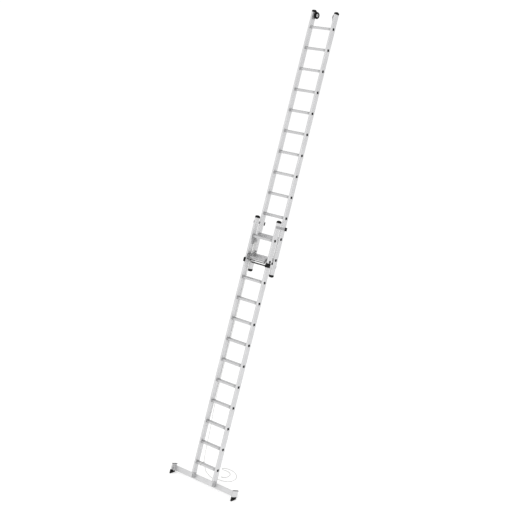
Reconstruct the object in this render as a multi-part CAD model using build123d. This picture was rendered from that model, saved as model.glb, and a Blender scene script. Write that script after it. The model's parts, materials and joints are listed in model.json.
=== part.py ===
from build123d import *
import math
import os

# Two-section extension ladder, raised by a rope and leaning at its working angle.
# Most pieces are drawn in ladder coordinates: x across the ladder, y from the climber
# towards the wall, z up along the stiles, with the lowest rung's axis at z = 0. They are
# then leaned back and set on the floor. Millimetres.

# ---- driving dimensions -------------------------------------------------------------------
LEAN = 19.8                # degrees from vertical
RUNG_PITCH = 280.0
RUNGS = 12                 # in each section
LADDER_WIDTH = 420.0       # over both stiles
STILE_DEPTH = 73.2
STILE_THICKNESS = 25.0
STILE_WALL = 2.0
SECTION_STEP = 103.3       # from one section's middle plane to the other's
LOCKED_RUNGS = 10          # lower rungs below the upper section's first rung
LOCK_RISE = 37.0           # upper rungs above the lower ones when the hooks are seated
FIRST_RUNG_HEIGHT = 258.0  # lowest rung's axis above the floor

LOWER_BOTTOM = -142.0      # ends of the stiles along the ladder
LOWER_TOP = 3316.0
UPPER_BOTTOM = 2640.0
UPPER_TOP = 6112.0
CAP_HEIGHT = 34.0
CAP_DOME = 14.0            # of that, the rounded part

TREAD_HEIGHT = 30.0
LOWER_TREAD = 50.0
UPPER_TREAD = 42.0
TENON = 30.0
TUBE_WALL = 1.5

BAR_HALF = 582.0           # crossbar between its end legs
BAR_FRONT = 25.0
BAR_BACK = 50.0
BAR_TOP = -170.0
BAR_BOTTOM = -238.0
LEG_OUTER = 600.0
LEG_TOP = -150.0
LEG_BOTTOM = -240.0
BOOT_TOP = -231.0          # of the rubber feet, and how far they stand out round the legs
BOOT_WALL = 2.0

WHEEL_RADIUS = 46.0
ROPE = 8.0

UPPER_FIRST = LOCKED_RUNGS * RUNG_PITCH + LOCK_RISE
OUTER = LADDER_WIDTH / 2
INNER = OUTER - STILE_THICKNESS
STILE_MIDDLE = OUTER - STILE_THICKNESS / 2
EDGE = STILE_DEPTH / 2
RUNNING_GAP = 0.8          # between a guide and the stile that slides in it
COS_LEAN = math.cos(math.radians(LEAN))
SIN_LEAN = math.sin(math.radians(LEAN))
FOOT_Y = FIRST_RUNG_HEIGHT * SIN_LEAN / COS_LEAN
STAND = Pos(0, FOOT_Y, FIRST_RUNG_HEIGHT) * Rot(-LEAN, 0, 0)
LEFT = -1
RIGHT = 1
BOTH = (LEFT, RIGHT)

os.makedirs("parts", exist_ok=True)


# ---- helpers ------------------------------------------------------------------------------
def box(x, y, z):
    """A block between the given (low, high) limits on each axis."""
    size = (x[1] - x[0], y[1] - y[0], z[1] - z[0])
    middle = ((x[0] + x[1]) / 2, (y[0] + y[1]) / 2, (z[0] + z[1]) / 2)
    return Pos(*middle) * Box(*size)


def span(a, b):
    """The two limits in rising order."""
    return (min(a, b), max(a, b))


def side_box(side, near, far, y, z):
    """A block between two distances from the middle plane, on one side of the ladder."""
    return box(span(side * near, side * far), y, z)


def rod(side, near, far, y, z, radius):
    """A round bar across the ladder between two distances from the middle plane."""
    low, high = span(side * near, side * far)
    return Pos((low + high) / 2, y, z) * Cylinder(radius, high - low, rotation=(0, 90, 0))


def cross_rod(half_length, y, z, radius):
    """A round bar right across the ladder."""
    return Pos(0, y, z) * Cylinder(radius, 2 * half_length, rotation=(0, 90, 0))


def plate(side, near, far, corners):
    """A flat plate square to the rungs, drawn by its (y, z) corners."""
    low, high = span(side * near, side * far)
    outline = Plane.YZ * make_face(Polyline(*corners, close=True))
    return Pos(low, 0, 0) * extrude(outline, amount=high - low)


def on_floor(y):
    """Where the floor cuts the ladder, measured along it, at a depth y."""
    return (y * SIN_LEAN - FIRST_RUNG_HEIGHT) / COS_LEAN


def level(y, z):
    """A level offset back and a vertical offset up, as ladder depth and rise."""
    return (y * COS_LEAN - z * SIN_LEAN, y * SIN_LEAN + z * COS_LEAN)


# ---- stiles -------------------------------------------------------------------------------
PIVOT_Y = 80.0             # of the rung hooks
PIVOT_Z = LOCKED_RUNGS * RUNG_PITCH + 85
HOOK_PIN = 5.0
GROOVE_Y = 27.0            # shallow grooves down the outside of every stile
GROOVE_WIDTH = 6.0
GROOVE_DEPTH = 0.8


def stile(side, y, bottom, top, first_rung):
    body = side_box(side, INNER, OUTER, (y - EDGE, y + EDGE), (bottom, top))
    body = fillet(body.edges().filter_by(Axis.Z), 2.5)
    deep = EDGE - STILE_WALL
    body -= side_box(
        side, INNER + STILE_WALL, OUTER - STILE_WALL, (y - deep, y + deep), (bottom, top)
    )
    for middle in (y - GROOVE_Y, y + GROOVE_Y):
        width = (middle - GROOVE_WIDTH / 2, middle + GROOVE_WIDTH / 2)
        body -= side_box(side, OUTER - GROOVE_DEPTH, OUTER + 1, width, (bottom, top))
    half = TENON / 2
    hole = side_box(side, INNER - 1, OUTER + 1, (-half, half), (-half, half))
    for number in range(RUNGS):
        z = first_rung + number * RUNG_PITCH
        body -= Pos(0, y, z) * Rot(LEAN, 0, 0) * hole
    return body


# ---- rungs: a level tread between the stiles with a square tenon through each one ----------
def tread_block(depth, height, corner, half_length):
    profile = Plane.YZ * RectangleRounded(depth, height, corner)
    return extrude(profile, amount=half_length, both=True)


def rung(depth):
    shell = tread_block(depth, TREAD_HEIGHT, 5, INNER)
    inside = (depth - 2 * TUBE_WALL, TREAD_HEIGHT - 2 * TUBE_WALL)
    shell -= tread_block(*inside, 3.5, INNER - 2)
    half = TENON / 2
    bore = half - TUBE_WALL
    for side in BOTH:
        shell += side_box(side, INNER - 2, OUTER, (-half, half), (-half, half))
        shell -= side_box(side, INNER - 4, OUTER, (-bore, bore), (-bore, bore))
    for line in range(5):
        middle = (line - 2) * depth / 6.5
        top = TREAD_HEIGHT / 2
        shell -= box((8 - INNER, INNER - 8), (middle - 1, middle + 1), (top - 0.5, top + 1))
    return shell


PLUG_FLANGE = 16.5         # half its width; it is thinner than the running gap of the guides
PLUG_THICK = 0.5


def rung_plugs(y, first_rung):
    """Black plugs that close both ends of every rung, with a thin flange over the tenon."""
    bore = TENON / 2 - TUBE_WALL
    edge = (-PLUG_FLANGE, PLUG_FLANGE)
    plugs = []
    for number in range(RUNGS):
        place = Pos(0, y, first_rung + number * RUNG_PITCH) * Rot(LEAN, 0, 0)
        for side in BOTH:
            stem = side_box(side, OUTER - 14, OUTER, (-bore, bore), (-bore, bore))
            flange = side_box(side, OUTER, OUTER + PLUG_THICK, edge, edge)
            plugs.append(place * (stem + flange))
    return plugs


# ---- end caps of the stiles ----------------------------------------------------------------
def end_cap(side, y, z, way):
    """A cap with a domed end; way is +1 at a top end and -1 at a bottom end."""
    crown = z + way * CAP_HEIGHT
    rim = crown - way * CAP_DOME
    dome = ThreePointArc((y + EDGE, rim), (y, crown), (y - EDGE, rim))
    sides = Polyline((y - EDGE, rim), (y - EDGE, z), (y + EDGE, z), (y + EDGE, rim))
    outline = Plane.YZ * make_face([sides, dome])
    head = extrude(outline, amount=STILE_THICKNESS / 2, both=True)
    clear = STILE_WALL + 0.2
    deep = EDGE - clear
    stem = side_box(
        side, INNER + clear, OUTER - clear, (y - deep, y + deep), span(z, z - way * 30)
    )
    return Pos(side * STILE_MIDDLE, 0, 0) * head + stem


# ---- foot of the ladder --------------------------------------------------------------------
SHOE_FRONT = -16.0
SHOE_BOTTOM = -222.0
SHOE_BOLTS = (-184.0, -206.0)
CORNER_MIDDLE = BAR_HALF - 11
CORNER_BOLT = -204.0
BOLT_RADIUS = 4.0


def through_bolt(x, z):
    """A hexagon bolt from a block's front face through the bar, with its nut behind."""
    length = BAR_BACK + 6 - SHOE_FRONT
    middle = (BAR_BACK + 6 + SHOE_FRONT) / 2
    shank = Pos(x, middle, z) * Cylinder(BOLT_RADIUS, length, rotation=(90, 0, 0))
    hexagon = Plane.XZ * RegularPolygon(7.5, 6)
    head = Pos(x, SHOE_FRONT, z) * extrude(hexagon, amount=5)
    nut = Pos(x, BAR_BACK, z) * extrude(hexagon, amount=-6)
    return head + shank + nut


def bolt_holes():
    length = 120
    places = [(s * STILE_MIDDLE, z) for s in BOTH for z in SHOE_BOLTS]
    places += [(s * CORNER_MIDDLE, CORNER_BOLT) for s in BOTH]
    return [Pos(x, 20, z) * Cylinder(BOLT_RADIUS, length, rotation=(90, 0, 0)) for x, z in places]


def crossbar():
    bar = box((-BAR_HALF, BAR_HALF), (BAR_FRONT, BAR_BACK), (BAR_BOTTOM, BAR_TOP))
    bar = fillet(bar.edges().filter_by(Axis.X), 2.5)
    bar -= box(
        (-BAR_HALF, BAR_HALF),
        (BAR_FRONT + STILE_WALL, BAR_BACK - STILE_WALL),
        (BAR_BOTTOM + STILE_WALL, BAR_TOP - STILE_WALL),
    )
    return bar - bolt_holes()


def stile_shoe(side):
    """The cast foot of a stile: a spigot up inside it and a block bolted to the crossbar."""
    block = side_box(side, INNER, OUTER, (SHOE_FRONT, BAR_FRONT), (SHOE_BOTTOM, LOWER_BOTTOM))
    collar = side_box(side, INNER, OUTER, (-EDGE, EDGE), (LOWER_BOTTOM - 8, LOWER_BOTTOM))
    ledge = side_box(side, INNER, OUTER, (BAR_FRONT - 5, EDGE), (BAR_TOP, LOWER_BOTTOM - 4))
    clear = STILE_WALL + 0.1
    deep = EDGE - clear
    spigot = side_box(
        side, INNER + clear, OUTER - clear, (-deep, deep), (LOWER_BOTTOM - 2, LOWER_BOTTOM + 60)
    )
    return block + collar + ledge + spigot - bolt_holes()


def corner_block(side):
    """The block that ties an end leg to the crossbar."""
    block = side_box(
        side, BAR_HALF - 22, BAR_HALF, (SHOE_FRONT, BAR_FRONT), (BAR_BOTTOM, BAR_TOP + 8)
    )
    return block - bolt_holes()


def end_leg(side):
    """A short upright of flat bar that closes one end of the crossbar."""
    leg = side_box(side, BAR_HALF, LEG_OUTER, (-EDGE, BAR_BACK), (LEG_BOTTOM, LEG_TOP))
    return fillet(leg.edges().filter_by(Axis.Z), 2)


def leg_cap(side):
    near = BAR_HALF - BOOT_WALL
    far = LEG_OUTER + BOOT_WALL
    depth = (-EDGE - BOOT_WALL, BAR_BACK + BOOT_WALL)
    cap = side_box(side, near, far, depth, (LEG_TOP, LEG_TOP + 6))
    return fillet(cap.edges().filter_by(Axis.Z), 2.5)


def rubber_foot(side):
    """A boot round the leg's end, whose sole lies flat on the floor while the ladder leans."""
    deep = EDGE + BOOT_WALL
    corners = [(-deep, BOOT_TOP), (deep, BOOT_TOP), (deep, on_floor(deep))]
    corners.append((-deep, on_floor(-deep)))
    boot = plate(side, BAR_HALF - BOOT_WALL, LEG_OUTER + BOOT_WALL, corners)
    bar_end = side_box(
        side, BAR_HALF - 22, BAR_HALF, (SHOE_FRONT, BAR_BACK), (BAR_BOTTOM, BAR_TOP)
    )
    return boot - end_leg(side) - bar_end


# ---- guides that keep the two sections together --------------------------------------------
STRAP = 3.0
UPPER_GUIDE = (3243.0, 3275.0)
LOWER_GUIDE = (2730.0, 2772.0)
PAD_DEPTH = 14.5           # of the lower pads
UPPER_PAD_DEPTH = 22.0
PAD_MARGIN = 7.0           # the pads stand above and below their straps
PAD_OUTSIDE = 6.0          # how far the pads stand out past the stile's outer face
UPPER_WING = 19.0          # length of the pads' wings over the straps, past the sliding face
LOWER_WING = 58.0
STRAP_INSET = 7.0          # from a pad's sliding face to the strap's lip buried in it
BUSH_Y = SECTION_STEP / 2 - 3
BUSH_Z = sum(UPPER_GUIDE) / 2
PIN_RADIUS = 4.0
TIE_Y = 90.0               # the tie rod across the upper section's lower end
TIE_Z = 2733.0
TIE_RADIUS = 9.5


def guide_strap(side, holder, slider, z):
    """An outside strap fixed to the holder's stile and hooked round the slider's stile."""
    way = 1 if slider > holder else -1
    face = OUTER + RUNNING_GAP
    fixed = holder - way * EDGE
    hooked = slider + way * (EDGE + RUNNING_GAP + STRAP_INSET)
    strap = side_box(side, face, face + STRAP, span(fixed - way * 2, hooked + way * 2.5), z)
    seat = side_box(side, OUTER, face, span(fixed, holder + way * EDGE), z)
    lip = side_box(side, OUTER - 11, face, span(fixed, fixed - way * 2), z)
    hook = side_box(side, INNER + 5, face, span(hooked, hooked + way * 2.5), z)
    return strap + seat + lip + hook


def guide_pad(side, slider, way, z, depth, wing):
    """The slide block moulded over the hooked end of a guide strap, with a wing outside it."""
    near = slider + way * (EDGE + RUNNING_GAP)
    far = near + way * depth
    height = (z[0] - PAD_MARGIN, z[1] + PAD_MARGIN)
    block = side_box(side, INNER + 2, OUTER + PAD_OUTSIDE, span(near, far), height)
    outside = OUTER + RUNNING_GAP + STRAP
    cover = side_box(side, outside, OUTER + PAD_OUTSIDE, span(near - way * wing, far), height)
    return block + cover


def gap_pad(side):
    """The slide block on the upper stile's front that runs down the lower stile's back."""
    front = EDGE + RUNNING_GAP
    return side_box(side, INNER + 2, OUTER - 1, (front, SECTION_STEP - EDGE), (2740, 2800))


def guide_bush(side):
    """A spacer in the gap between the stiles, pinned through the upper guide strap."""
    spacer = rod(side, INNER + 4, OUTER + RUNNING_GAP, BUSH_Y, BUSH_Z, 8)
    pin = rod(side, INNER + 4, OUTER + RUNNING_GAP + STRAP, BUSH_Y, BUSH_Z, PIN_RADIUS)
    outside = OUTER + RUNNING_GAP + STRAP
    head = rod(side, outside, outside + 4, BUSH_Y, BUSH_Z, 7.5)
    return spacer + pin + head


# ---- rope pulley under the top rung of the lower section -------------------------------------
ROPE_X = 175.0             # distance left of the middle plane
PITCH_RADIUS = 17.0        # of the rope's centreline
SHEAVE_Y = 52.0
SHEAVE_Z = 3019.0
SHEAVE_HALF = 6.0
HAUL_Y = SHEAVE_Y - PITCH_RADIUS
LIFT_Y = SHEAVE_Y + PITCH_RADIUS


def pulley_sheave():
    rim = PITCH_RADIUS + 3.5
    bore = PIN_RADIUS + 0.05
    groove = ROPE / 2 + 0.3
    first = Polyline(
        (PITCH_RADIUS, -groove),
        (rim, -groove - 0.2),
        (rim, -SHEAVE_HALF),
        (bore, -SHEAVE_HALF),
        (bore, SHEAVE_HALF),
        (rim, SHEAVE_HALF),
        (rim, groove + 0.2),
        (PITCH_RADIUS, groove),
    )
    floor = ThreePointArc((PITCH_RADIUS, groove), (PITCH_RADIUS - groove, 0), (PITCH_RADIUS, -groove))
    wheel = revolve(make_face([first, floor]), axis=Axis.Y)
    return Pos(-ROPE_X, SHEAVE_Y, SHEAVE_Z) * Rot(0, 0, 90) * wheel


def pulley_bracket():
    """A bent plate on the left stile's inner face, with the sheave's axle and two bolts."""
    ear = (SHEAVE_Y - 12, SHEAVE_Y + 12)
    top = SHEAVE_Z + 28
    low = SHEAVE_Z - 12
    gap = SHEAVE_HALF + 0.8
    corners = [
        (-25, SHEAVE_Z + 40),
        (20, SHEAVE_Z + 40),
        (ear[1], top),
        (ear[1], low),
        (26, SHEAVE_Z - 54),
        (-2, SHEAVE_Z - 54),
    ]
    base = plate(LEFT, ROPE_X + gap, INNER, corners)
    cheek = side_box(LEFT, ROPE_X - gap - 3, ROPE_X - gap, ear, (low, top))
    bridge = side_box(LEFT, ROPE_X - gap - 3, INNER, ear, (top - 4, top))
    axle = rod(LEFT, ROPE_X - gap - 5, INNER, SHEAVE_Y, SHEAVE_Z, PIN_RADIUS)
    bracket = base + cheek + bridge + axle
    for y, rise in ((-13, 26), (12, -40)):
        bracket += rod(LEFT, ROPE_X + gap - 5, INNER, y, SHEAVE_Z + rise, 6)
    return bracket


# ---- wall rollers at the top ----------------------------------------------------------------
WHEEL_X = 161.0
WHEEL_Y = 130.0
WHEEL_Z = 6079.0
WHEEL_HALF = 9.0
HUB_RADIUS = 21.0
WHEEL_AXLE = 6.0
WHEEL_SIDE = WHEEL_X + WHEEL_HALF + 2    # inner face of the brackets


def wheel_tyre(side):
    middle = (WHEEL_RADIUS + HUB_RADIUS) / 2
    profile = Pos(middle, 0) * RectangleRounded(WHEEL_RADIUS - HUB_RADIUS, 2 * WHEEL_HALF, 5)
    ring = revolve(profile, axis=Axis.Y)
    return Pos(side * WHEEL_X, WHEEL_Y, WHEEL_Z) * Rot(0, 0, 90) * ring


def wheel_hub(side):
    boss = Cylinder(HUB_RADIUS, 2 * WHEEL_HALF - 6) + Cylinder(9, 2 * WHEEL_HALF)
    boss -= Cylinder(WHEEL_AXLE + 0.05, 2 * WHEEL_HALF + 10)
    return Pos(side * WHEEL_X, WHEEL_Y, WHEEL_Z) * Rot(0, 90, 0) * boss


def wheel_bracket(side):
    corners = [
        (76, WHEEL_Z - 58),
        (110, WHEEL_Z - 58),
        (WHEEL_Y + 9, WHEEL_Z - 22),
        (WHEEL_Y + 9, WHEEL_Z + 16),
        (112, WHEEL_Z + 31),
        (76, WHEEL_Z + 31),
    ]
    block = plate(side, WHEEL_SIDE, INNER, corners)
    for y, rise in ((83, 25), (86, -46)):
        block += rod(side, WHEEL_SIDE - 4, WHEEL_SIDE, y, WHEEL_Z + rise, 5)
    return block - rod(side, WHEEL_SIDE - 1, INNER - 4, WHEEL_Y, WHEEL_Z, WHEEL_AXLE)


def wheel_axle(side):
    gap = WHEEL_HALF + 1.4
    pin = rod(side, WHEEL_X - gap - 5, INNER - 4, WHEEL_Y, WHEEL_Z, WHEEL_AXLE)
    head = rod(side, WHEEL_X - gap - 5, WHEEL_X - gap, WHEEL_Y, WHEEL_Z, 8.5)
    return pin + head


# ---- rung hooks: two linked plates that drop over a rung of the lower section ----------------
HOOK_MIDDLE = 156.0
HOOK_HALF = 4.0
SEAT_GAP = 0.3
LINK_Y = -47.0             # the rod that joins both hooks in front of their rung
LINK_RISE = -32.0
LINK_RADIUS = 6.0


def rung_hook(side):
    rung_z = LOCKED_RUNGS * RUNG_PITCH
    deep = LOWER_TREAD / 2 + SEAT_GAP
    high = TREAD_HEIGHT / 2 + SEAT_GAP
    seat_back = level(deep, high)
    seat_front = level(-deep, high)
    around = [
        (PIVOT_Y - 8, 95),
        (PIVOT_Y + 7, 92),
        (PIVOT_Y + 9, 80),
        (PIVOT_Y - 7, 62),
        (PIVOT_Y - 10, 44),
        (52, 25),
        (32, 17),
        seat_back,
        seat_front,
        (seat_front[0] - 1, -26),
        (LINK_Y + 10, LINK_RISE - 9),
        (LINK_Y - 6, LINK_RISE - 9),
        (LINK_Y - 9, LINK_RISE + 3),
        (seat_front[0] - 17, -2),
        (seat_front[0] - 11, 21),
        (0, 43),
        (38, 58),
    ]
    corners = [(y, rung_z + rise) for y, rise in around]
    body = plate(side, HOOK_MIDDLE - HOOK_HALF, HOOK_MIDDLE + HOOK_HALF, corners)
    body += rod(side, HOOK_MIDDLE - 9, HOOK_MIDDLE + HOOK_HALF + 1, PIVOT_Y, PIVOT_Z, 9)
    body -= rod(side, 100, INNER, LINK_Y, rung_z + LINK_RISE, LINK_RADIUS)
    return body - rod(side, 100, INNER, PIVOT_Y, PIVOT_Z, HOOK_PIN)


def hook_rods():
    """The link rod and the two pins that the hooks turn on in the upper stiles."""
    pins = [
        rod(side, HOOK_MIDDLE - 10, INNER + 8, PIVOT_Y, PIVOT_Z, HOOK_PIN) for side in BOTH
    ]
    link_z = LOCKED_RUNGS * RUNG_PITCH + LINK_RISE
    return pins + [cross_rod(HOOK_MIDDLE + 8, LINK_Y, link_z, LINK_RADIUS)]


# ---- ropes ----------------------------------------------------------------------------------
HITCH_X = -100.0           # middle of the turns round the lowest rung
KNOT_RADIUS = 13.0
KNOT = level(37, 4)

# The hauling rope below its sheave, in ladder coordinates.
HAUL_ROUTE = [
    (-ROPE_X, HAUL_Y, SHEAVE_Z),
    (-ROPE_X, HAUL_Y, 1120),
    (-178, 42, 920),
    (-166, 43, 690),
    (-144, 43, 490),
    (-138, 43, 355),
    (-121, 41, 95),
    (-106, 37, 42),
    (HITCH_X, KNOT[0], KNOT[1]),
]

# The loose tail from the hitch down to the floor and round its two loops, as it stands.
FLOOR = ROPE / 2
END_KNOT = 9.0             # radius of the knot at the tail's free end
TAIL_ROUTE = [
    (HITCH_X, FOOT_Y + 37, FIRST_RUNG_HEIGHT + 4),
    (-87, 132, 226),
    (-78, 129, 190),
    (-73, 139, 146),
    (-65, 163, 100),
    (-55, 198, 55),
    (-42, 234, 18),
    (-18, 268, FLOOR),
    (14, 287, FLOOR),
    (60, 291, FLOOR),
    (108, 300, FLOOR),
    (151, 328, FLOOR),
    (178, 374, FLOOR),
    (177, 424, FLOOR),
    (155, 474, FLOOR),
    (117, 523, FLOOR),
    (68, 558, FLOOR),
    (18, 583, FLOOR),
    (-33, 600, FLOOR),
    (-88, 607, FLOOR),
    (-140, 603, FLOOR),
    (-184, 592, FLOOR),
    (-205, 566, FLOOR),
    (-190, 540, FLOOR),
    (-150, 540, FLOOR),
    (-100, 548, FLOOR),
    (-50, 543, FLOOR),
    (-5, 520, FLOOR),
    (25, 480, FLOOR),
    (40, 437, FLOOR),
    (38, 400, FLOOR),
    (20, 376, FLOOR),
    (-6, 366, FLOOR),
]


def rounded(points):
    """Straight runs joined by arcs as large as the runs beside each corner allow."""
    radii = []
    for before, here, after in zip(points, points[1:], points[2:]):
        first = Vector(*here) - Vector(*before)
        second = Vector(*after) - Vector(*here)
        turn = math.radians(first.get_angle(second))
        radii.append(0.45 * min(first.length, second.length) / math.tan(turn / 2))
    return FilletPolyline(*points, radius=radii), radii


def rope(name, path, radii):
    start = Plane(origin=path @ 0, z_dir=path % 0)
    solid = sweep(start * Circle(ROPE / 2), path=path)
    share = solid.volume / (path.length * math.pi * ROPE**2 / 4)
    print(name, "length", round(path.length, 1), "volume share", round(share, 4))
    print(name, "smallest bend radii", sorted(round(r) for r in radii)[:6])
    return solid


def rope_turns(x, depth, count):
    """Turns of rope laid side by side round a tread of the given depth."""
    width = count * ROPE
    profile = Plane.YZ * RectangleRounded(depth + 2 * ROPE, TREAD_HEIGHT + 2 * ROPE, 12)
    return Pos(x, 0, 0) * extrude(profile, amount=width / 2, both=True)


def haul_rope():
    over = ThreePointArc(
        (-ROPE_X, LIFT_Y, SHEAVE_Z),
        (-ROPE_X, SHEAVE_Y, SHEAVE_Z + PITCH_RADIUS),
        (-ROPE_X, HAUL_Y, SHEAVE_Z),
    )
    route, radii = rounded(HAUL_ROUTE)
    path = Wire(list(over.edges()) + list(route.edges()))
    return rope("haul_rope", path, radii)


def rope_hitch():
    turns = Rot(LEAN, 0, 0) * rope_turns(HITCH_X, LOWER_TREAD, 2)
    knot = Pos(HITCH_X, *KNOT) * Sphere(KNOT_RADIUS)
    tread = Rot(LEAN, 0, 0) * tread_block(LOWER_TREAD, TREAD_HEIGHT, 5, INNER)
    return turns + knot - tread


def lift_rope():
    """From the sheave's back down to a turn round the upper section's lowest rung."""
    low = UPPER_FIRST + 12
    fall = Pos(-ROPE_X, LIFT_Y, (low + SHEAVE_Z) / 2) * Cylinder(ROPE / 2, SHEAVE_Z - low)
    place = Pos(0, SECTION_STEP, UPPER_FIRST) * Rot(LEAN, 0, 0)
    turn = place * rope_turns(-ROPE_X, UPPER_TREAD, 1)
    tread = place * tread_block(UPPER_TREAD, TREAD_HEIGHT, 5, INNER)
    return fall + turn - tread


# ---- the pieces -----------------------------------------------------------------------------
ladder = {}
pin_hole = cross_rod(INNER + STILE_WALL + 1, PIVOT_Y, PIVOT_Z, HOOK_PIN + 0.05)
for name, side in (("left", LEFT), ("right", RIGHT)):
    ladder[f"lower_{name}_stile"] = [stile(side, 0, LOWER_BOTTOM, LOWER_TOP, 0)]
    upper = stile(side, SECTION_STEP, UPPER_BOTTOM, UPPER_TOP, UPPER_FIRST)
    ladder[f"upper_{name}_stile"] = [upper - pin_hole]
    ladder[f"{name}_foot"] = [rubber_foot(side)]
    ladder[f"{name}_roller_tyre"] = [wheel_tyre(side)]
    ladder[f"{name}_roller_hub"] = [wheel_hub(side)]

lower_rung = rung(LOWER_TREAD)
upper_rung = rung(UPPER_TREAD)
for number in range(RUNGS):
    rise = number * RUNG_PITCH
    lean = Rot(LEAN, 0, 0)
    ladder[f"lower_rung_{number + 1:02d}"] = [Pos(0, 0, rise) * lean * lower_rung]
    high = Pos(0, SECTION_STEP, UPPER_FIRST + rise) * lean * upper_rung
    ladder[f"upper_rung_{number + 1:02d}"] = [high]

ladder["lower_rung_plugs"] = rung_plugs(0, 0)
ladder["upper_rung_plugs"] = rung_plugs(SECTION_STEP, UPPER_FIRST)
ladder["lower_top_caps"] = [end_cap(s, 0, LOWER_TOP, 1) for s in BOTH]
ladder["upper_top_caps"] = [end_cap(s, SECTION_STEP, UPPER_TOP, 1) for s in BOTH]
ladder["upper_bottom_caps"] = [end_cap(s, SECTION_STEP, UPPER_BOTTOM, -1) for s in BOTH]

ladder["crossbar"] = [crossbar()]
ladder["crossbar_brackets"] = [stile_shoe(s) for s in BOTH] + [corner_block(s) for s in BOTH]
ladder["crossbar_bolts"] = [through_bolt(s * STILE_MIDDLE, z) for s in BOTH for z in SHOE_BOLTS]
ladder["crossbar_bolts"] += [through_bolt(s * CORNER_MIDDLE, CORNER_BOLT) for s in BOTH]
ladder["crossbar_legs"] = [end_leg(s) for s in BOTH]
ladder["leg_caps"] = [leg_cap(s) for s in BOTH]

bush_hole = cross_rod(OUTER + 20, BUSH_Y, BUSH_Z, PIN_RADIUS)
ladder["upper_guide_straps"] = [
    guide_strap(s, 0, SECTION_STEP, UPPER_GUIDE) - bush_hole for s in BOTH
]
ladder["upper_guide_pads"] = [
    guide_pad(s, SECTION_STEP, 1, UPPER_GUIDE, UPPER_PAD_DEPTH, UPPER_WING)
    - guide_strap(s, 0, SECTION_STEP, UPPER_GUIDE)
    for s in BOTH
]
ladder["upper_guide_bushes"] = [guide_bush(s) for s in BOTH]
ladder["lower_guide_straps"] = [guide_strap(s, SECTION_STEP, 0, LOWER_GUIDE) for s in BOTH]
ladder["lower_guide_pads"] = [
    guide_pad(s, 0, -1, LOWER_GUIDE, PAD_DEPTH, LOWER_WING)
    - guide_strap(s, SECTION_STEP, 0, LOWER_GUIDE)
    for s in BOTH
]
ladder["lower_guide_pads"] += [gap_pad(s) for s in BOTH]
ladder["tie_rod"] = [cross_rod(INNER, TIE_Y, TIE_Z, TIE_RADIUS)]

ladder["pulley_bracket"] = [pulley_bracket()]
ladder["pulley_sheave"] = [pulley_sheave()]
ladder["roller_brackets"] = [wheel_bracket(s) for s in BOTH]
ladder["roller_axles"] = [wheel_axle(s) for s in BOTH]
ladder["rung_hooks"] = [rung_hook(s) for s in BOTH]
ladder["hook_rods"] = hook_rods()

hitch = rope_hitch()
ladder["rope_hitch"] = [hitch]
ladder["haul_rope"] = [haul_rope() - hitch]
ladder["lift_rope"] = [lift_rope()]

for name, solids in ladder.items():
    made = [STAND * solid for solid in solids]
    export_step(made[0] if len(made) == 1 else Compound(made), f"parts/{name}.step")

tail_path, tail_radii = rounded(TAIL_ROUTE)
tail = rope("rope_tail", tail_path, tail_radii) - STAND * hitch
tail += Pos(*TAIL_ROUTE[-1]) * Pos(0, 0, END_KNOT - FLOOR) * Sphere(END_KNOT)
export_step(tail, "parts/rope_tail.step")
print("pieces", len(ladder) + 1)
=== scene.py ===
"""The looks of the extension ladder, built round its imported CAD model. Metres, floor at z = 0."""
import json
import math

import bmesh
import bpy
import numpy as np
from mathutils import Matrix, Vector

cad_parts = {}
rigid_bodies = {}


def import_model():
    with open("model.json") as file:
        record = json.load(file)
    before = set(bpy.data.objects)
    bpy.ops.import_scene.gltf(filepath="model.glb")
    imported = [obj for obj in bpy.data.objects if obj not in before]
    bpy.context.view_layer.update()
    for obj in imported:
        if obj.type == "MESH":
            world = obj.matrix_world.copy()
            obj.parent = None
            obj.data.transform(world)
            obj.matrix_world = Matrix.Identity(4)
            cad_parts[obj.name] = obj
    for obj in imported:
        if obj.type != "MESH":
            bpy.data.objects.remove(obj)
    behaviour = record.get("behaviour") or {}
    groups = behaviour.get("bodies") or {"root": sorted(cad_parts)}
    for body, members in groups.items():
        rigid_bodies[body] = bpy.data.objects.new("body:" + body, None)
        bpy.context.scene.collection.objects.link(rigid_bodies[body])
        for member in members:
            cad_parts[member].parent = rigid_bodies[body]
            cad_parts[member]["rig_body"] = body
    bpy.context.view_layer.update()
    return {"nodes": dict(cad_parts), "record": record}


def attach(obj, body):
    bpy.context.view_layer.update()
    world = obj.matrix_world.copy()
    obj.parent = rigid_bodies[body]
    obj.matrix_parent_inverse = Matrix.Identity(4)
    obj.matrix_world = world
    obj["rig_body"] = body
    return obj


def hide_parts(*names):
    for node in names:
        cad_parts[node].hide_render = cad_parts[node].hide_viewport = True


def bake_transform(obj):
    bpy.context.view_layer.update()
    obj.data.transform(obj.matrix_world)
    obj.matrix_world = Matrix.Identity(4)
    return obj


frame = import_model()

# ---- places taken from the ladder's own design ----------------------------------------------
LEAN = math.radians(19.8)          # from vertical
FIRST_RUNG_HEIGHT = 0.258
FOOT_Y = FIRST_RUNG_HEIGHT * math.tan(LEAN)
OUTER = 0.210                      # half the width over the stiles
STEP = 0.1033                      # from the lower section's middle plane to the upper one's
UPPER_FIRST = 2.837                # upper section's lowest rung, along the ladder
ROPE = 0.008
ROPE_X = -0.175
SHEAVE_Y = 0.052
SHEAVE_Z = 3.019
PITCH_RADIUS = 0.017
SIDES = {"left": -1, "right": 1}
ALONG = Matrix.Rotation(-LEAN, 4, "X")
STAND = Matrix.Translation((0, FOOT_Y, FIRST_RUNG_HEIGHT)) @ ALONG
LEVEL = Matrix.Rotation(LEAN, 4, "X")


def leaned(x, y, z):
    """A point in ladder coordinates as it stands: x across, y towards the wall, z along it."""
    return STAND @ Vector((x, y, z))


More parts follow.
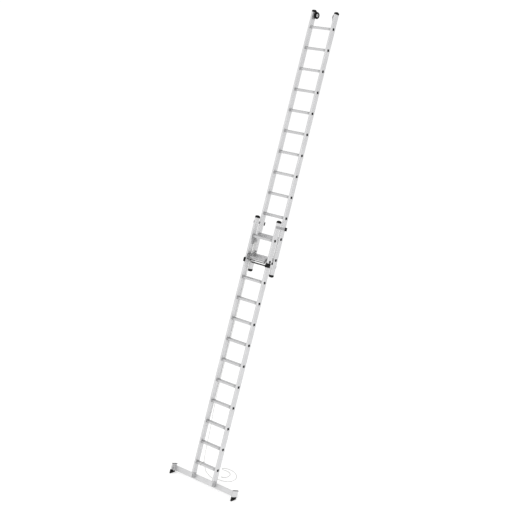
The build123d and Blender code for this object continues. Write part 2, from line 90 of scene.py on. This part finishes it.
# ---- camera ---------------------------------------------------------------------------------
CAMERA_AZIMUTH = 45.496
CAMERA_ELEVATION = 16.148
CAMERA_PLACE = (12.6672, -11.4722, 8.1016)
camera = bpy.data.objects.new("camera", bpy.data.cameras.new("camera"))
bpy.context.scene.collection.objects.link(camera)
camera.data.sensor_width = 36
camera.data.lens = 100.31
camera.data.clip_end = 200
camera.location = CAMERA_PLACE
camera.rotation_euler = (math.radians(90 - CAMERA_ELEVATION), 0, math.radians(CAMERA_AZIMUTH))
bpy.context.scene.camera = camera


# ---- small helpers --------------------------------------------------------------------------
def add_object(name, mesh):
    piece = bpy.data.objects.new(name, mesh)
    bpy.context.scene.collection.objects.link(piece)
    return piece


def mesh_of(name, verts, faces):
    mesh = bpy.data.meshes.new(name)
    mesh.from_pydata([tuple(v) for v in verts], [], faces)
    mesh.validate()
    for polygon in mesh.polygons:
        polygon.use_smooth = True
    return add_object(name, mesh)


def paint(piece, material):
    piece.data.materials.clear()
    piece.data.materials.append(material)


def fit_out(piece, body, material, slot, *replaced):
    """Gives a piece its body and its material, and hides the nodes it stands for; the slot argument
    is not used.
    """
    paint(piece, material)
    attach(piece, body)
    if replaced:
        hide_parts(*replaced)


def finish_mesh(name, work, width=0.0, sharp=50):
    """Makes an object of a bmesh, its edges rounded over by width and its faces smooth."""
    if width:
        bmesh.ops.remove_doubles(work, verts=work.verts, dist=1e-6)
        bmesh.ops.dissolve_limit(
            work, angle_limit=math.radians(1), verts=work.verts, edges=work.edges
        )
        hard = math.radians(35)
        edges = [e for e in work.edges if len(e.link_faces) == 2 and e.calc_face_angle() > hard]
        bmesh.ops.bevel(
            work, geom=edges, offset=width, segments=2, profile=0.5,
            affect="EDGES", clamp_overlap=True,
        )
    mesh = bpy.data.meshes.new(name)
    work.to_mesh(mesh)
    work.free()
    for polygon in mesh.polygons:
        polygon.use_smooth = True
    mesh.set_sharp_from_angle(angle=math.radians(sharp))
    return add_object(name, mesh)


def turned(name, middle, profile, steps=72):
    """A ring turned about the ladder's x axis, from a closed profile of (x, radius) points."""
    verts = []
    faces = []
    count = len(profile)
    for step in range(steps):
        angle = 2 * math.pi * step / steps
        for x, radius in profile:
            offset = Vector((x, radius * math.cos(angle), radius * math.sin(angle)))
            verts.append(leaned(*(Vector(middle) + offset)))
    for step in range(steps):
        a = step * count
        b = (step + 1) % steps * count
        for k in range(count):
            n = (k + 1) % count
            faces.append((a + k, a + n, b + n, b + k))
    work = bmesh.new()
    made = [work.verts.new(v) for v in verts]
    for face in faces:
        if len({tuple(verts[i]) for i in face}) == 4:
            work.faces.new([made[i] for i in face])
    bmesh.ops.recalc_face_normals(work, faces=work.faces)
    return finish_mesh(name, work, sharp=40)


def block_into(work, low, high, place=STAND):
    """Adds a block between two corners to a bmesh."""
    low = Vector(low)
    high = Vector(high)
    scale = Matrix.Diagonal((*(high - low), 1))
    bmesh.ops.create_cube(work, size=1, matrix=place @ Matrix.Translation((low + high) / 2) @ scale)


def disc_into(work, middle, radius, thickness, turn, taper=1.0, segments=28):
    """Adds a disc to a bmesh, its axis turned from z by turn, narrowing to taper on that side."""
    bmesh.ops.create_cone(
        work, cap_ends=True, segments=segments, radius1=radius, radius2=radius * taper,
        depth=thickness, matrix=STAND @ Matrix.Translation(middle) @ turn,
    )


# ---- ropes ----------------------------------------------------------------------------------
def smooth_line(points):
    """Points along the smooth curve that a rope's route gives, evenly and closely spaced."""
    curve = bpy.data.curves.new("route", "CURVE")
    curve.dimensions = "3D"
    curve.resolution_u = 24
    spline = curve.splines.new("NURBS")
    spline.points.add(len(points) - 1)
    for place, point in zip(spline.points, points):
        place.co = (*point, 1)
    spline.order_u = 3
    spline.use_endpoint_u = True
    holder = add_object("route", curve)
    line = bpy.data.meshes.new_from_object(holder)
    found = np.array([v.co for v in line.vertices])
    bpy.data.objects.remove(holder)
    bpy.data.curves.remove(curve)
    bpy.data.meshes.remove(line)
    return found


def evenly(points, spacing):
    """The same line with its points a set distance apart."""
    points = np.asarray(points, float)
    steps = np.linalg.norm(np.diff(points, axis=0), axis=1)
    along = np.concatenate([[0], np.cumsum(steps)])
    count = max(2, round(along[-1] / spacing) + 1)
    wanted = np.linspace(0, along[-1], count)
    return np.stack([np.interp(wanted, along, points[:, i]) for i in range(3)], axis=1)


def frames_along(points):
    """Two directions square to the line at each point, carried along it without twist."""
    tangents = np.gradient(points, axis=0)
    tangents /= np.linalg.norm(tangents, axis=1)[:, None]
    first = np.cross(tangents[0], (0, 0, 1))
    if np.linalg.norm(first) < 0.1:
        first = np.cross(tangents[0], (1, 0, 0))
    normals = []
    normal = first / np.linalg.norm(first)
    for tangent in tangents:
        normal = normal - tangent * normal.dot(tangent)
        normal /= np.linalg.norm(normal)
        normals.append(normal)
    normals = np.array(normals)
    return normals, np.cross(tangents, normals)


STRANDS = 8
LAY_LENGTH = 0.034                 # of one turn of a braid strand


def braid(name, line, diameter=ROPE, around=5):
    """A rope of strands wound both ways round a core, following a line of points."""
    points = evenly(line, LAY_LENGTH / 12)
    normals, sides = frames_along(points)
    travelled = np.concatenate([[0], np.cumsum(np.linalg.norm(np.diff(points, axis=0), axis=1))])
    verts = []
    faces = []

    def tube(centres, radius):
        start = len(verts)
        for index, centre in enumerate(centres):
            for k in range(around):
                angle = 2 * math.pi * k / around
                out = normals[index] * math.cos(angle) + sides[index] * math.sin(angle)
                verts.append(centre + out * radius)
        for index in range(len(centres) - 1):
            for k in range(around):
                a = start + index * around + k
                b = start + index * around + (k + 1) % around
                faces.append((a, b, b + around, a + around))
        faces.append(tuple(start + k for k in reversed(range(around))))
        faces.append(tuple(len(verts) - around + k for k in range(around)))

    strand = diameter * 0.17
    orbit = diameter / 2 - strand
    tube(points, orbit)
    for number in range(STRANDS):
        way = 1 if number % 2 else -1
        phase = 2 * math.pi * (number // 2) / (STRANDS // 2)
        angles = way * 2 * math.pi * travelled / LAY_LENGTH + phase
        weave = 1 + 0.06 * way * np.sin(2 * STRANDS * math.pi * travelled / LAY_LENGTH)
        offset = normals * np.cos(angles)[:, None] + sides * np.sin(angles)[:, None]
        tube(points + offset * (orbit * weave)[:, None], strand)
    return mesh_of(name, verts, faces)


FLOOR = ROPE / 2                   # height of a rope's middle where it lies on the floor
KNOT = LEVEL @ Vector((-0.100, 0.037, 0.004))
HAUL_ROUTE = [
    (ROPE_X, SHEAVE_Y - PITCH_RADIUS, SHEAVE_Z),
    (ROPE_X, SHEAVE_Y - PITCH_RADIUS, 1.120),
    (-0.178, 0.042, 0.920),
    (-0.166, 0.043, 0.690),
    (-0.144, 0.043, 0.490),
    (-0.138, 0.043, 0.355),
    (-0.121, 0.041, 0.095),
    (-0.106, 0.037, 0.042),
    tuple(KNOT),
]
TAIL_ROUTE = [
    (-0.100, FOOT_Y + 0.037, FIRST_RUNG_HEIGHT + 0.004),
    (-0.087, 0.132, 0.226),
    (-0.078, 0.129, 0.190),
    (-0.073, 0.139, 0.146),
    (-0.065, 0.163, 0.100),
    (-0.055, 0.198, 0.055),
    (-0.042, 0.234, 0.018),
    (-0.018, 0.268, FLOOR),
    (0.014, 0.287, FLOOR),
    (0.060, 0.291, FLOOR),
    (0.108, 0.300, FLOOR),
    (0.151, 0.328, FLOOR),
    (0.178, 0.374, FLOOR),
    (0.177, 0.424, FLOOR),
    (0.155, 0.474, FLOOR),
    (0.117, 0.523, FLOOR),
    (0.068, 0.558, FLOOR),
    (0.018, 0.583, FLOOR),
    (-0.033, 0.600, FLOOR),
    (-0.088, 0.607, FLOOR),
    (-0.140, 0.603, FLOOR),
    (-0.184, 0.592, FLOOR),
    (-0.205, 0.566, FLOOR),
    (-0.190, 0.540, FLOOR),
    (-0.150, 0.540, FLOOR),
    (-0.100, 0.548, FLOOR),
    (-0.050, 0.543, FLOOR),
    (-0.005, 0.520, FLOOR),
    (0.025, 0.480, FLOOR),
    (0.040, 0.437, FLOOR),
    (0.038, 0.400, FLOOR),
    (0.020, 0.376, FLOOR),
    (-0.006, 0.366, FLOOR),
]


# ---- materials ------------------------------------------------------------------------------
class Nodes:
    """A node material being put together."""

    def __init__(self, name):
        self.material = bpy.data.materials.new(name)
        self.material.use_nodes = True
        self.tree = self.material.node_tree
        self.shader = self.tree.nodes["Principled BSDF"]
        self.place = self.add("ShaderNodeTexCoord").outputs["Object"]

    def add(self, kind, **values):
        node = self.tree.nodes.new(kind)
        for key, value in values.items():
            if hasattr(node, key):
                setattr(node, key, value)
            else:
                node.inputs[key.replace("_", " ")].default_value = value
        return node

    def join(self, source, target):
        self.tree.links.new(source, target)

    def stretched(self, scale):
        """Coordinates turned to lie along the ladder, then scaled on each axis."""
        turn = self.add("ShaderNodeMapping")
        turn.inputs["Rotation"].default_value = (LEAN, 0, 0)
        self.join(self.place, turn.inputs["Vector"])
        size = self.add("ShaderNodeMapping")
        size.inputs["Scale"].default_value = scale
        self.join(turn.outputs["Vector"], size.inputs["Vector"])
        return size.outputs["Vector"]

    def noise(self, scale, detail, vector=None):
        node = self.add("ShaderNodeTexNoise", Scale=scale, Detail=detail)
        self.join(vector if vector else self.place, node.inputs["Vector"])
        return node.outputs["Fac"]

    def ramp(self, source, stops):
        """Maps a number to colours; stops are (place, grey or colour) pairs."""
        node = self.add("ShaderNodeValToRGB")
        elements = node.color_ramp.elements
        for index, (place, colour) in enumerate(stops):
            if index > 1:
                elements.new(place)
            elements[index].position = place
            if not isinstance(colour, tuple):
                colour = (colour, colour, colour)
            elements[index].color = (*colour, 1)
        self.join(source, node.inputs["Fac"])
        return node.outputs["Color"]

    def mix(self, share, first, second, blend="MIX"):
        node = self.add("ShaderNodeMix", data_type="RGBA", blend_type=blend)
        wanted = ((share, node.inputs[0]), (first, node.inputs[6]), (second, node.inputs[7]))
        for value, socket in wanted:
            if isinstance(value, bpy.types.NodeSocket):
                self.join(value, socket)
            elif isinstance(value, tuple):
                socket.default_value = (*value, 1)
            else:
                socket.default_value = value
        return node.outputs[2]

    def bump(self, height, strength, distance):
        node = self.add("ShaderNodeBump", Strength=strength, Distance=distance)
        self.join(height, node.inputs["Height"])
        self.join(node.outputs["Normal"], self.shader.inputs["Normal"])


def grey(value, tint=(1, 1, 1)):
    return tuple(value * part for part in tint)


def metal(
    name, base, rough, streaks, tint=(1, 1, 1.01), metallic=0.75, contrast=0.06, shaded_ends=None
):
    """Mill-finish metal: drawing lines along one way, faint stains and handling marks.

    The last argument, when given, sets the distances from the middle plane between which a rung is
    darkened towards its ends: painted shade where the rung meets the stiles."""
    m = Nodes(name)
    lines = m.noise(1.0, 3, m.stretched(streaks))
    stains = m.noise(6.0, 5)
    scuffs = m.noise(90.0, 2)
    drawn = m.ramp(lines, [(0.3, grey(base * (1 - contrast), tint)), (0.7, grey(base, tint))])
    stained = m.ramp(stains, [(0.35, 1.0), (0.72, 0.93)])
    colour = m.mix(1.0, drawn, stained, "MULTIPLY")
    marks = m.ramp(scuffs, [(0.66, 1.0), (0.74, 0.9)])
    colour = m.mix(0.6, colour, marks, "MULTIPLY")
    # Painted shade: the colour darkens towards the rung's ends, where they meet the stiles.
    if shaded_ends:
        across = m.add("ShaderNodeSeparateXYZ")
        m.join(m.place, across.inputs[0])
        distance = m.add("ShaderNodeMath", operation="ABSOLUTE")
        m.join(across.outputs["X"], distance.inputs[0])
        painted_end_shade = m.ramp(distance.outputs[0], [(shaded_ends[0], 1.0), (shaded_ends[1], 0.68)])
        colour = m.mix(1.0, colour, painted_end_shade, "MULTIPLY")
    m.join(colour, m.shader.inputs["Base Color"])
    roughness = m.ramp(lines, [(0.25, rough - 0.06), (0.75, rough + 0.08)])
    m.join(roughness, m.shader.inputs["Roughness"])
    m.shader.inputs["Metallic"].default_value = metallic
    m.bump(lines, 0.15, 0.0003)
    return m.material


def plastic(name, base, rough, tint=(1, 1, 1), grain=900.0, specular=0.35):
    """Moulded plastic or rubber with a fine grain, dust and worn patches."""
    m = Nodes(name)
    fine = m.noise(grain, 2)
    dust = m.noise(25.0, 6)
    colour = m.ramp(dust, [(0.45, grey(base, tint)), (0.8, grey(base * 1.3 + 0.003, tint))])
    m.join(colour, m.shader.inputs["Base Color"])
    m.join(m.ramp(dust, [(0.3, rough), (0.8, min(1, rough + 0.2))]), m.shader.inputs["Roughness"])
    m.shader.inputs["Specular IOR Level"].default_value = specular
    m.bump(fine, 0.25, 0.0003)
    return m.material


def floor_rubber(name, base):
    """Moulded rubber with a fine grain, dusty near the floor."""
    m = Nodes(name)
    height = m.add("ShaderNodeSeparateXYZ")
    m.join(m.place, height.inputs[0])
    dust = m.noise(30.0, 5)
    low = m.ramp(height.outputs["Z"], [(0.0, 0.018), (0.03, 0.0)])
    colour = m.ramp(dust, [(0.4, base), (0.8, base * 1.5)])
    m.join(m.mix(1.0, colour, low, "ADD"), m.shader.inputs["Base Color"])
    m.shader.inputs["Roughness"].default_value = 0.8
    m.shader.inputs["Specular IOR Level"].default_value = 0.12
    m.bump(m.noise(600.0, 3), 0.35, 0.0004)
    return m.material


def rope_material():
    """Off-white braided rope: soft fibres, slightly soiled in places."""
    m = Nodes("rope_braid")
    fibres = m.noise(1400.0, 3)
    soil = m.noise(9.0, 4)
    pale = m.ramp(fibres, [(0.3, (0.52, 0.52, 0.51)), (0.7, (0.70, 0.70, 0.69))])
    soiled = m.ramp(soil, [(0.45, (1.0, 1.0, 1.0)), (0.85, (0.91, 0.905, 0.89))])
    m.join(m.mix(1.0, pale, soiled, "MULTIPLY"), m.shader.inputs["Base Color"])
    m.shader.inputs["Roughness"].default_value = 0.85
    m.bump(fibres, 0.5, 0.0004)
    return m.material


LENGTHWAYS = (420.0, 420.0, 1.6)
CROSSWAYS = (1.6, 420.0, 420.0)
ANY_WAY = (80.0, 80.0, 80.0)
STILE = metal("stile_aluminium", 0.66, 0.42, LENGTHWAYS)
# The rungs carry painted shade, darkening towards their ends where they meet the stiles.
RUNG = metal("rung_aluminium", 0.58, 0.40, CROSSWAYS, shaded_ends=(0.130, 0.165))
BAR = metal("crossbar_aluminium", 0.66, 0.42, CROSSWAYS)
CAST = metal("cast_aluminium", 0.50, 0.55, ANY_WAY, metallic=0.6, contrast=0.15)
ZINC = metal("zinc_plate", 0.40, 0.38, ANY_WAY, tint=(1, 1, 1.02), contrast=0.14)
BRACKET = metal("roller_bracket_steel", 0.30, 0.45, ANY_WAY, metallic=0.6, contrast=0.2)
HOOK = metal("hook_steel", 0.36, 0.42, ANY_WAY, metallic=0.6, contrast=0.2)
GUNMETAL = metal("gunmetal", 0.03, 0.45, ANY_WAY, metallic=0.3, contrast=0.2)
BLACK = plastic("black_plastic", 0.004, 0.55, specular=0.15)
RUBBER = floor_rubber("black_rubber", 0.004)
TYRE = plastic("tyre_rubber", 0.004, 0.75, grain=500.0, specular=0.12)
HUB = plastic("hub_plastic", 0.52, 0.45)
SHEAVE = plastic("sheave_plastic", 0.30, 0.4)
BRAID = rope_material()


# ---- the ropes themselves -------------------------------------------------------------------
haul_line = smooth_line([leaned(*point) for point in HAUL_ROUTE])
over = [
    leaned(ROPE_X, SHEAVE_Y + PITCH_RADIUS * math.cos(a), SHEAVE_Z + PITCH_RADIUS * math.sin(a))
    for a in np.linspace(0, math.pi, 16)
]
haul = braid("hauling_rope", np.concatenate([np.array(over)[:-1], haul_line]))
fit_out(haul, "lower_section", BRAID, "rope", "haul_rope")


def knot_line(centre, size):
    """An overhand knot pulled snug: a trefoil seen from the side."""
    line = []
    for t in np.linspace(0, 2 * math.pi, 60):
        x = math.sin(t) + 2 * math.sin(2 * t)
        z = math.cos(t) - 2 * math.cos(2 * t)
        y = -math.sin(3 * t)
        line.append(centre + Vector((x, y * 1.2, z)) * size)
    return line


tail_line = smooth_line(TAIL_ROUTE)
tail = braid("rope_loose_tail", tail_line)
fit_out(tail, "lower_section", BRAID, "rope", "rope_tail")
end = Vector(TAIL_ROUTE[-1]) + Vector((-0.002, -0.001, 0.0045))
end_knot = braid("rope_end_knot", knot_line(end, 0.0021), 0.006)
fit_out(end_knot, "lower_section", BRAID, "rope")


TREAD_HALF_HEIGHT = 0.015
LOWER_TREAD_DEPTH = 0.050
UPPER_TREAD_DEPTH = 0.042
ROPE_CLEARANCE = 0.0002


def turns_line(x, depth, turns):
    """Turns of rope round a level tread: a rounded rectangle that creeps sideways."""
    half_y = depth / 2 + ROPE / 2 + ROPE_CLEARANCE
    half_z = TREAD_HALF_HEIGHT + ROPE / 2 + ROPE_CLEARANCE
    corner = 0.008
    line = []
    steps = 48
    for step in range(round(turns * steps) + 1):
        angle = 2 * math.pi * step / steps + math.radians(60)
        c = math.cos(angle)
        s = math.sin(angle)
        reach = 1 / max(abs(c) / (half_y - corner), abs(s) / (half_z - corner))
        y = max(-half_y + corner, min(half_y - corner, reach * c)) + corner * c
        z = max(-half_z + corner, min(half_z - corner, reach * s)) + corner * s
        creep = ROPE * (step / steps - turns / 2)
        line.append(Vector((x + creep, y, z)))
    return line


hitch_line = [STAND @ (LEVEL @ p) for p in turns_line(-0.100, LOWER_TREAD_DEPTH, 2)]
hitch = braid("hitch_turns", hitch_line)
fit_out(hitch, "lower_section", BRAID, "rope", "rope_hitch")


knot = braid("hitch_knot", knot_line(leaned(*KNOT) + Vector((0, 0.002, 0)), 0.0034))
fit_out(knot, "lower_section", BRAID, "rope")

fall_low = UPPER_FIRST + 0.012
lift_line = [leaned(ROPE_X, SHEAVE_Y + PITCH_RADIUS, z) for z in (SHEAVE_Z, fall_low)]
lift = braid("lifting_fall", lift_line)
paint(lift, BRAID)
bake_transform(lift)
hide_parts("lift_rope")
upper_rung_place = STAND @ Matrix.Translation((0, STEP, UPPER_FIRST)) @ LEVEL
eye_line = [upper_rung_place @ p for p in turns_line(ROPE_X, UPPER_TREAD_DEPTH, 1)]
eye = braid("lifting_eye", eye_line)
fit_out(eye, "upper_section", BRAID, "rope")


# ---- wall rollers ---------------------------------------------------------------------------
WHEEL = (0.161, 0.130, 6.079)
WHEEL_RADIUS = 0.046
HUB_RADIUS = 0.021
HALF_WIDTH = 0.009


def tyre_profile():
    """A tyre with rounded shoulders and three grooves round its tread."""
    points = [(HALF_WIDTH, HUB_RADIUS), (HALF_WIDTH, WHEEL_RADIUS - 0.005)]
    for step in range(1, 5):
        angle = math.radians(22.5 * step)
        shoulder = (HALF_WIDTH - 0.004 + 0.004 * math.cos(angle))
        points.append((shoulder, WHEEL_RADIUS - 0.005 + 0.004 * math.sin(angle)))
    for groove in (0.0035, 0.0, -0.0035):
        for x, depth in ((0.0011, 0.0), (0.0006, 0.0016), (-0.0006, 0.0016), (-0.0011, 0.0)):
            points.append((groove + x, WHEEL_RADIUS - 0.0002 - depth))
    for step in range(0, 4):
        angle = math.radians(90 + 22.5 * step)
        shoulder = (-HALF_WIDTH + 0.004 + 0.004 * math.cos(angle))
        points.append((shoulder, WHEEL_RADIUS - 0.005 + 0.004 * math.sin(angle)))
    points += [(-HALF_WIDTH, WHEEL_RADIUS - 0.005), (-HALF_WIDTH, HUB_RADIUS)]
    return points


HUB_PROFILE = [
    (0.0090, 0.0062), (0.0090, 0.0084), (0.0084, 0.0090), (0.0040, 0.0096), (0.0040, 0.0168),
    (0.0078, 0.0175), (0.0084, 0.0182), (0.0084, 0.0204), (0.0078, 0.0210),
    (-0.0078, 0.0210), (-0.0084, 0.0204), (-0.0084, 0.0182), (-0.0078, 0.0175),
    (-0.0040, 0.0168), (-0.0040, 0.0096), (-0.0084, 0.0090), (-0.0090, 0.0084),
    (-0.0090, 0.0062),
]
for side, way in SIDES.items():
    middle = (way * WHEEL[0], WHEEL[1], WHEEL[2])
    tyre = turned(f"{side}_grooved_tyre", middle, tyre_profile())
    fit_out(tyre, f"{side}_roller", TYRE, "tyre_rubber", f"{side}_roller_tyre")
    hub = turned(f"{side}_webbed_hub", middle, HUB_PROFILE)
    fit_out(hub, f"{side}_roller", HUB, "pale_plastic", f"{side}_roller_hub")
    work = bmesh.new()
    for spoke in range(6):
        turn = Matrix.Rotation(math.radians(60 * spoke), 4, "X")
        place = STAND @ Matrix.Translation(middle) @ turn
        block_into(work, (-0.0066, -0.0011, 0.0088), (0.0066, 0.0011, 0.0178), place)
    ribs = finish_mesh(f"{side}_hub_ribs", work)
    fit_out(ribs, f"{side}_roller", HUB, "pale_plastic")


# ---- rivets, washers ------------------------------------------------------------------------
def rivets(name, body, places, radius=0.0052, height=0.0026):
    """Domed rivet heads on the outer faces, at (y, z) places on both sides."""
    work = bmesh.new()
    for way in SIDES.values():
        turn = Matrix.Rotation(way * math.radians(90), 4, "Y")
        for x, y, z in places:
            base = way * (x + height * 0.3)
            disc_into(work, (base, y, z), radius, height * 0.6, turn, 0.92)
            crown = way * (x + height * 0.8)
            disc_into(work, (crown, y, z), radius * 0.92, height * 0.4, turn, 0.55)
    fit_out(finish_mesh(name, work), body, ZINC, "zinc_steel")


STRAP_FACE = OUTER + 0.0038
BOLT_FACE = 0.1675                 # where the roller brackets' bolt heads end, across
rivets("upper_guide_rivets", "lower_section", [(STRAP_FACE, y, 3.259) for y in (-0.022, 0.010)])
rivets(
    "lower_guide_rivets", "upper_section",
    [(STRAP_FACE, STEP + y, 2.751) for y in (0.022, -0.012)],
)
work = bmesh.new()
for way in SIDES.values():
    turn = Matrix.Rotation(-way * math.radians(90), 4, "Y")
    for y, rise in ((0.083, 0.025), (0.086, -0.046)):
        disc_into(work, (way * BOLT_FACE, y, WHEEL[2] + rise), 0.0042, 0.0012, turn, 0.85, 6)
    for x, radius in ((0.1454, 0.0062), (0.1447, 0.0040)):
        disc_into(work, (way * x, WHEEL[1], WHEEL[2]), radius, 0.0008, turn, 0.9, 6)
fit_out(finish_mesh("roller_bolt_ends", work), "upper_section", ZINC, "zinc_steel")
work = bmesh.new()
forward = Matrix.Rotation(math.radians(90), 4, "X")
WASHER_Y = -0.0168
for x in (-0.571, -0.1975, 0.1975, 0.571):
    at_leg = abs(x) > 0.5
    for z in (-0.204,) if at_leg else (-0.184, -0.206):
        disc_into(work, (x, WASHER_Y, z), 0.0096, 0.0016, forward)
washers = finish_mesh("crossbar_washers", work, 0.0003)
fit_out(washers, "lower_section", ZINC, "zinc_steel")


# ---- level ribs round the rubber boots ------------------------------------------------------
LEG_MIDDLE = 0.591
BOOT_HALF = 0.0116                 # half the boot's width, ribs included
BOOT_REACH = 0.0416                # half its depth at the floor, ribs included
BOOT_TOP = -0.231                  # along the ladder
RIB_HALF = 0.0011
work = bmesh.new()
for way in SIDES.values():
    for number in range(7):
        height = 0.006 * (number + 1)
        shift = height * math.tan(LEAN)
        depth = (FIRST_RUNG_HEIGHT + BOOT_TOP * math.cos(LEAN) - height) / math.sin(LEAN)
        top_edge = FOOT_Y + depth * math.cos(LEAN) + BOOT_TOP * math.sin(LEAN) - 0.002
        middle = way * LEG_MIDDLE
        low = (middle - BOOT_HALF, shift - BOOT_REACH, height - RIB_HALF)
        high = (middle + BOOT_HALF, min(shift + BOOT_REACH, top_edge), height + RIB_HALF)
        block_into(work, low, high, Matrix.Identity(4))
boot_ribs = finish_mesh("boot_ribs", work, 0.0005)
fit_out(boot_ribs, "lower_section", RUBBER, "black_rubber")


# ---- carried-over CAD nodes -----------------------------------------------------------------
FINISHES = {
    "stile": STILE,
    "crossbar": BAR,
    "crossbar_legs": BAR,
    "crossbar_brackets": CAST,
    "crossbar_bolts": ZINC,
    "leg_caps": BLACK,
    "upper_guide_straps": ZINC,
    "lower_guide_straps": STILE,
    "guide_bushes": ZINC,
    "pads": BLACK,
    "caps": BLACK,
    "plugs": BLACK,
    "foot": RUBBER,
    "rung": RUNG,
    "pulley_bracket": ZINC,
    "pulley_sheave": SHEAVE,
    "roller_brackets": BRACKET,
    "roller_axles": ZINC,
    "tyre": TYRE,
    "hub": HUB,
    "rung_hooks": HOOK,
    "hook_rods": GUNMETAL,
    "tie_rod": GUNMETAL,
    "rope": BRAID,
    "lift": BRAID,
}
SOFTENED = {
    "crossbar_brackets": 0.0016,
    "crossbar_bolts": 0.0006,
    "crossbar_legs": 0.0008,
    "leg_caps": 0.0018,
    "left_foot": 0.0018,
    "right_foot": 0.0018,
    "lower_rung_plugs": 0.0002,
    "upper_rung_plugs": 0.0002,
    "lower_top_caps": 0.0022,
    "upper_top_caps": 0.0022,
    "upper_bottom_caps": 0.0022,
    "upper_guide_straps": 0.0006,
    "lower_guide_straps": 0.0006,
    "upper_guide_pads": 0.0020,
    "lower_guide_pads": 0.0020,
    "pulley_bracket": 0.0006,
    "roller_brackets": 0.0020,
    "roller_axles": 0.0008,
    "rung_hooks": 0.0009,
}
SLOTS = {part["node"]: part["material_slot"] for part in frame["record"]["subparts"]}


def finish_for(node):
    """The material whose key is the longest one found in the node's name."""
    keys = [key for key in FINISHES if key in node]
    return FINISHES[max(keys, key=len)]


for node, shape in frame["nodes"].items():
    paint(shape, finish_for(node))

for node, width in SOFTENED.items():
    shape = frame["nodes"][node]
    work = bmesh.new()
    work.from_mesh(shape.data)
    soft = finish_mesh(f"{node}_softened", work, width)
    fit_out(soft, shape["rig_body"], finish_for(node), SLOTS[node], node)

# ---- floor, world and lights ----------------------------------------------------------------
floor = mesh_of("floor", [(-60, -60, 0), (60, -60, 0), (60, 60, 0), (-60, 60, 0)], [(0, 1, 2, 3)])
pale = Nodes("pale_floor")
faint = pale.ramp(pale.noise(2.0, 2), [(0.0, 0.78), (1.0, 0.80)])
pale.join(faint, pale.shader.inputs["Base Color"])
pale.shader.inputs["Roughness"].default_value = 1.0
pale.shader.inputs["Specular IOR Level"].default_value = 0.0
pale.shader.inputs["Emission Color"].default_value = (1, 1, 1, 1)
pale.shader.inputs["Emission Strength"].default_value = 0.25
paint(floor, pale.material)

world = bpy.data.worlds.new("studio")
bpy.context.scene.world = world
world.use_nodes = True
backdrop = world.node_tree.nodes["Background"]
backdrop.inputs["Color"].default_value = (1, 1, 1, 1)
backdrop.inputs["Strength"].default_value = 1.0


def area_light(name, place, target, size, power):
    light = bpy.data.lights.new(name, "AREA")
    light.size = size
    light.energy = power
    lamp = bpy.data.objects.new(name, light)
    bpy.context.scene.collection.objects.link(lamp)
    lamp.location = place
    lamp.rotation_euler = (Vector(target) - Vector(place)).to_track_quat("-Z", "Y").to_euler()


area_light("key", (5, -9, 7), (0, 1, 3), 6, 500)
bpy.context.scene.view_settings.view_transform = "Standard"
